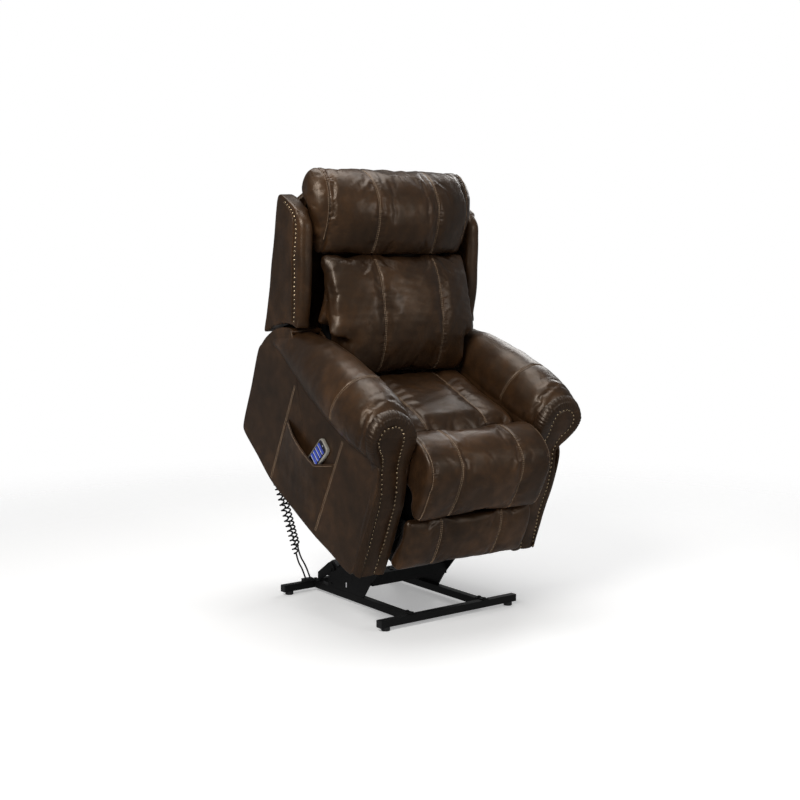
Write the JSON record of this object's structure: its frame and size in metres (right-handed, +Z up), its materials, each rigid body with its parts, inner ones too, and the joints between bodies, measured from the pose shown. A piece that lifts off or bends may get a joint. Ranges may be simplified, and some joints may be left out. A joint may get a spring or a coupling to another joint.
{
  "type": "lift recliner chair",
  "caption": "Power lift recliner in dark brown leather with rolled nailhead arms, winged back, a side pocket with a handset, and a black steel lift base, shown raised.",
  "frame": {"origin": "on the floor, below the middle of the raised chair's overall width and depth", "axes": "+Z up, -Y is the way the sitter faces, +X to the sitter's left"},
  "size_m": [0.9414, 0.9477, 1.5449],
  "materials": {
    "cover_leather": "semi-gloss, burnished two-tone",
    "cushion": "leather over foam",
    "frame_wood": "raw plywood",
    "black_steel": "satin powder coat",
    "bright_steel": "brushed",
    "black_plastic": "matt",
    "nail_brass": "antique",
    "cord_rubber": "semi-gloss",
    "handset_grey": "satin",
    "key_blue": "gloss"
  },
  "bodies": {
    "base": {"base_front_crossbar": "black_steel", "base_rear_crossbar": "black_steel", "base_rail_left": "black_steel", "base_rail_right": "black_steel", "base_end_caps": "black_plastic", "glide_feet": "black_plastic", "rail_tabs_and_bolts": "black_steel", "base_side_plate_left": "black_steel", "base_side_plate_right": "black_steel", "base_cross_tube": "black_steel", "base_pivot_pins": "bright_steel", "lift_motor_bracket": "black_steel", "cord_clip": "black_plastic", "handset_curly_cord": "cord_rubber", "handset_cord_lead": "cord_rubber", "power_curly_cord": "cord_rubber", "power_cord_lead": "cord_rubber"},
    "lift_arms": {"lift_arm_left": "black_steel", "lift_arm_right": "black_steel", "torque_tube": "black_steel"},
    "front_links": {"front_link_left": "black_steel", "front_link_right": "black_steel"},
    "lift_motor": {"lift_motor": "black_plastic"},
    "lift_rod": {"lift_rod": "bright_steel"},
    "carriage": {"lift_frame": "black_steel", "seat_box_frame": "frame_wood", "seat_springs": "bright_steel", "seat_deck_cushion": "cushion", "seat_front_cushion": "cushion", "arm_frame_left": "frame_wood", "arm_frame_right": "frame_wood", "arm_side_panels": "cover_leather", "arm_roll_left": "cover_leather", "arm_roll_right": "cover_leather", "arm_facing_left": "cover_leather", "arm_facing_right": "cover_leather", "arm_nailheads": "nail_brass", "lower_rear_panel": "cover_leather", "handset_pocket": "cover_leather", "cord_grommets": "black_plastic", "back_hinge_brackets": "black_steel"},
    "back": {"back_frame": "frame_wood", "lumbar_cushion": "cushion", "headrest_pillow": "cushion", "wing_left": "cushion", "wing_right": "cushion", "back_outer_panel": "cover_leather", "wing_nailheads": "nail_brass"},
    "recline_motor": {"recline_motor": "black_plastic"},
    "recline_rod": {"recline_rod": "bright_steel"},
    "legrest_rear_links": {"legrest_rear_links": "black_steel"},
    "legrest_front_links": {"legrest_front_links": "black_steel"},
    "legrest": {"legrest_board": "frame_wood", "legrest_pad": "cushion"},
    "handset": {"handset_case": "handset_grey"},
    "key_lift_down": {"handset_key_lift_down": "key_blue"},
    "key_lift_up": {"handset_key_lift_up": "key_blue"},
    "key_recline": {"handset_key_recline": "key_blue"},
    "key_upright": {"handset_key_upright": "key_blue"}
  },
  "joints": [
    {"name": "lift", "type": "hinge", "parent": "base", "child": "carriage", "pos_m": [0, -0.51265, 0.24754], "axis": [1, 0, 0], "range_deg": [-28, 0], "deforming": ["handset_curly_cord", "handset_cord_lead", "power_curly_cord", "power_cord_lead"]},
    {"name": "lift_arms_swing", "type": "hinge", "parent": "base", "child": "lift_arms", "pos_m": [0, -0.113, 0.24873], "axis": [1, 0, 0], "range_deg": [-62, 0.2]},
    {"name": "front_links_swing", "type": "hinge", "parent": "base", "child": "front_links", "pos_m": [0, 0.002, 0.1792], "axis": [1, 0, 0], "range_deg": [-0.2, 34.3]},
    {"name": "lift_motor_swing", "type": "hinge", "parent": "base", "child": "lift_motor", "pos_m": [0, 0.277, 0.088], "axis": [1, 0, 0], "range_deg": [-0.2, 1.8]},
    {"name": "lift_rod_stroke", "type": "slide", "parent": "lift_motor", "child": "lift_rod", "axis": [0, -0.8462, 0.5329], "range_m": [-0.0805, 0.0005]},
    {"name": "recline", "type": "hinge", "parent": "carriage", "child": "back", "pos_m": [0, 0.1808, 0.74249], "axis": [1, 0, 0], "range_deg": [-38, 0]},
    {"name": "recline_motor_swing", "type": "hinge", "parent": "carriage", "child": "recline_motor", "pos_m": [0, -0.02596, 0.51364], "axis": [1, 0, 0], "range_deg": [-0.2, 3.9]},
    {"name": "recline_rod_stroke", "type": "slide", "parent": "recline_motor", "child": "recline_rod", "axis": [0, 0.8584, 0.513], "range_m": [-0.057, 0.0005]},
    {"name": "legrest_swing", "type": "hinge", "parent": "carriage", "child": "legrest_rear_links", "pos_m": [0, -0.2558, 0.40275], "axis": [1, 0, 0], "range_deg": [-85, 0]},
    {"name": "legrest_unfold", "type": "hinge", "parent": "legrest_rear_links", "child": "legrest_front_links", "pos_m": [0, -0.19468, 0.2665], "axis": [1, 0, 0], "range_deg": [-0.5, 130.5]},
    {"name": "legrest_turn", "type": "hinge", "parent": "legrest_front_links", "child": "legrest", "pos_m": [0, -0.30731, 0.3697], "axis": [1, 0, 0], "range_deg": [-135.5, 0.5]},
    {"name": "handset_lift_out", "type": "slide", "parent": "carriage", "child": "handset", "axis": [0, -0.7222, 0.6917], "range_m": [0, 0.075]},
    {"name": "key_lift_down_press", "type": "slide", "parent": "handset", "child": "key_lift_down", "axis": [1, 0, 0], "range_m": [0, 0.001], "stiffness_N_per_m": 300},
    {"name": "key_lift_up_press", "type": "slide", "parent": "handset", "child": "key_lift_up", "axis": [1, 0, 0], "range_m": [0, 0.001], "stiffness_N_per_m": 300},
    {"name": "key_recline_press", "type": "slide", "parent": "handset", "child": "key_recline", "axis": [1, 0, 0], "range_m": [0, 0.001], "stiffness_N_per_m": 300},
    {"name": "key_upright_press", "type": "slide", "parent": "handset", "child": "key_upright", "axis": [1, 0, 0], "range_m": [0, 0.001], "stiffness_N_per_m": 300}
  ],
  "couplings": [
    {"joint": "lift_arms_swing", "follows": "lift", "ratio": 2.2104},
    {"joint": "front_links_swing", "follows": "lift", "ratio": -1.2195},
    {"joint": "lift_motor_swing", "follows": "lift", "ratio": -0.05636},
    {"joint": "lift_rod_stroke", "follows": "lift", "m_per_rad": 0.16352},
    {"joint": "recline_motor_swing", "follows": "recline", "ratio": -0.098016},
    {"joint": "recline_rod_stroke", "follows": "recline", "m_per_rad": 0.084829},
    {"joint": "legrest_unfold", "follows": "legrest_swing", "ratio": -1.5294},
    {"joint": "legrest_turn", "follows": "legrest_swing", "ratio": 1.5882}
  ]
}
